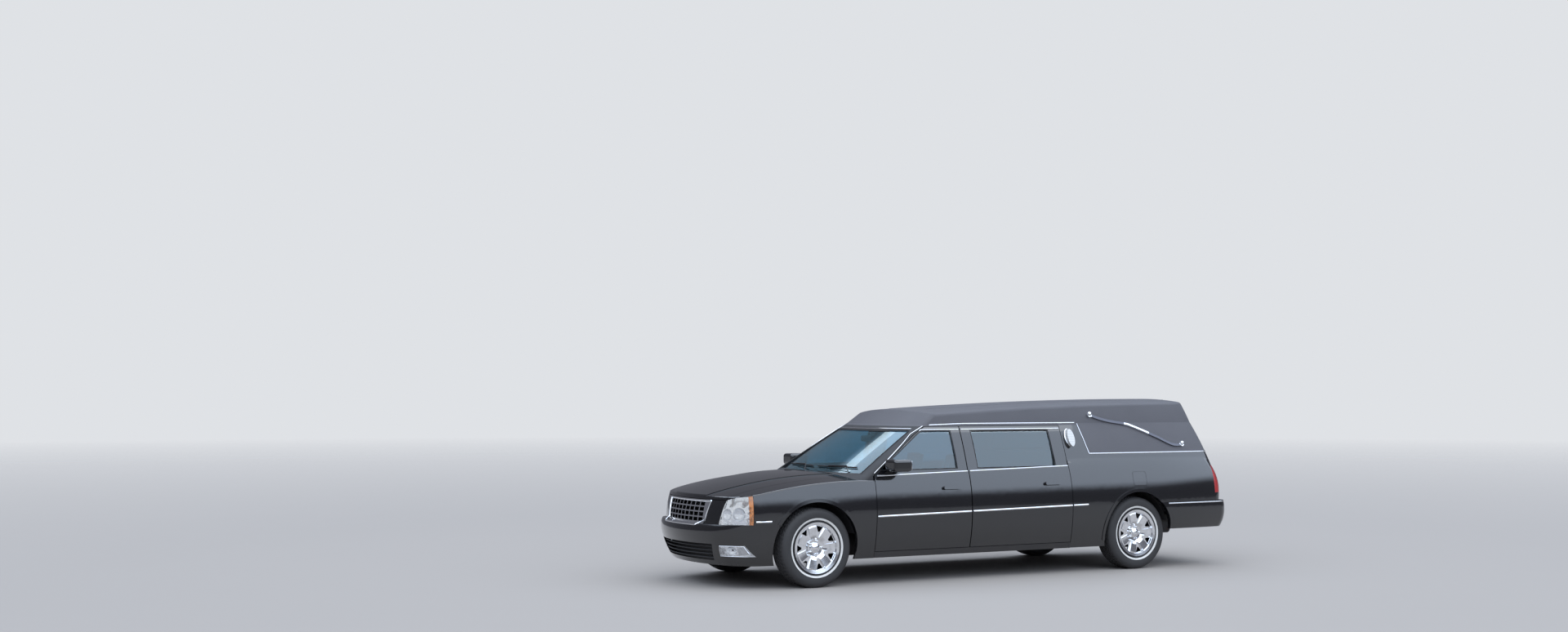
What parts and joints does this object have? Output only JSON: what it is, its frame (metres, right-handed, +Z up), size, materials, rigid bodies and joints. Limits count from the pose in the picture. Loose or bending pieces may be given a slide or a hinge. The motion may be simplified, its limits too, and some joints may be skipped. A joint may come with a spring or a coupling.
{
  "type": "hearse",
  "caption": "Long four-door hearse with vinyl roof, landau bars, hollow cabin and load space, opening doors, hood and load door, and steered rolling wheels.",
  "frame": {"origin": "middle of the overall box on the ground, under the centre line", "axes": "+X forward, +Y to the left side, +Z up"},
  "size_m": [5.9008, 2.16, 1.6961],
  "materials": {
    "black_paint": "gloss",
    "frame_paint": "satin",
    "vinyl": "matte",
    "chrome": "polished",
    "wheel_chrome": "polished",
    "tinted_glass": "gloss",
    "lamp_glass": "gloss",
    "lamp_inner": "gloss",
    "red_lamp": "gloss",
    "coach_lamp": "gloss",
    "trim_black": "matte",
    "seat_leather": "satin",
    "deck_trim": "matte",
    "chassis_steel": "satin",
    "engine_iron": "rough",
    "tyre_rubber": "matte"
  },
  "bodies": {
    "body": {"floor_pan": "frame_paint", "firewall": "frame_paint", "front_rails": "frame_paint", "rear_rails": "frame_paint", "rear_wheelhouses": "frame_paint", "door_pillars": "frame_paint", "left_fender": "black_paint", "right_fender": "black_paint", "front_bumper": "black_paint", "grille": "chrome", "headlamp_lenses": "lamp_glass", "headlamp_housings": "lamp_inner", "windshield": "tinted_glass", "vinyl_roof": "vinyl", "left_quarter": "black_paint", "right_quarter": "black_paint", "rear_bumper": "black_paint", "tail_lamps": "red_lamp", "landau_bars": "chrome", "coach_lamps": "coach_lamp", "dashboard": "trim_black", "steering_wheel": "trim_black", "front_seats": "seat_leather", "casket_deck": "deck_trim", "engine": "engine_iron", "front_suspension": "chassis_steel", "rear_axle": "chassis_steel", "fuel_tank": "chassis_steel", "exhaust": "chassis_steel"},
    "hood": {"hood": "black_paint"},
    "left front door": {"left_front_door": "black_paint", "left_front_glass": "tinted_glass", "left_mirror": "black_paint"},
    "right front door": {"right_front_door": "black_paint", "right_front_glass": "tinted_glass", "right_mirror": "black_paint"},
    "left rear door": {"left_rear_door": "black_paint", "left_rear_glass": "tinted_glass"},
    "right rear door": {"right_rear_door": "black_paint", "right_rear_glass": "tinted_glass"},
    "load door": {"load_door": "black_paint", "load_door_glass": "tinted_glass"},
    "left knuckle": {"left_knuckle": "chassis_steel"},
    "right knuckle": {"right_knuckle": "chassis_steel"},
    "front left wheel": {"front_left_tyre": "tyre_rubber", "front_left_rim": "wheel_chrome"},
    "front right wheel": {"front_right_tyre": "tyre_rubber", "front_right_rim": "wheel_chrome"},
    "rear left wheel": {"rear_left_tyre": "tyre_rubber", "rear_left_rim": "wheel_chrome"},
    "rear right wheel": {"rear_right_tyre": "tyre_rubber", "rear_right_rim": "wheel_chrome"}
  },
  "joints": [
    {"name": "hood_hinge", "type": "hinge", "parent": "body", "child": "hood", "pos_m": [1.5, 0, 0.99], "axis": [0, -1, 0], "range_deg": [0, 50]},
    {"name": "left_front_door_hinge", "type": "hinge", "parent": "body", "child": "left front door", "pos_m": [1.355, 0.95, 0.7], "axis": [0, 0, -1], "range_deg": [0, 65]},
    {"name": "right_front_door_hinge", "type": "hinge", "parent": "body", "child": "right front door", "pos_m": [1.355, -0.95, 0.7], "axis": [0, 0, 1], "range_deg": [0, 65]},
    {"name": "left_rear_door_hinge", "type": "hinge", "parent": "body", "child": "left rear door", "pos_m": [0.3, 0.95, 0.7], "axis": [0, 0, -1], "range_deg": [0, 65]},
    {"name": "right_rear_door_hinge", "type": "hinge", "parent": "body", "child": "right rear door", "pos_m": [0.3, -0.95, 0.7], "axis": [0, 0, 1], "range_deg": [0, 65]},
    {"name": "load_door_hinge", "type": "hinge", "parent": "body", "child": "load door", "pos_m": [-2.89, 0.658, 1.1], "axis": [0, 0, -1], "range_deg": [0, 90]},
    {"name": "left_steer", "type": "hinge", "parent": "body", "child": "left knuckle", "pos_m": [1.965, 0.705, 0.357], "axis": [0, 0, 1], "range_deg": [-32, 32]},
    {"name": "right_steer", "type": "hinge", "parent": "body", "child": "right knuckle", "pos_m": [1.965, -0.705, 0.357], "axis": [0, 0, 1], "range_deg": [-32, 32]},
    {"name": "front_left_spin", "type": "hinge", "parent": "left knuckle", "child": "front left wheel", "pos_m": [1.965, 0.798, 0.357], "axis": [0, 1, 0], "continuous": true},
    {"name": "front_right_spin", "type": "hinge", "parent": "right knuckle", "child": "front right wheel", "pos_m": [1.965, -0.798, 0.357], "axis": [0, 1, 0], "continuous": true},
    {"name": "rear_left_spin", "type": "hinge", "parent": "body", "child": "rear left wheel", "pos_m": [-1.712, 0.798, 0.357], "axis": [0, 1, 0], "continuous": true},
    {"name": "rear_right_spin", "type": "hinge", "parent": "body", "child": "rear right wheel", "pos_m": [-1.712, -0.798, 0.357], "axis": [0, 1, 0], "continuous": true}
  ],
  "couplings": [
    {"joint": "right_steer", "follows": "left_steer", "ratio": 1}
  ]
}
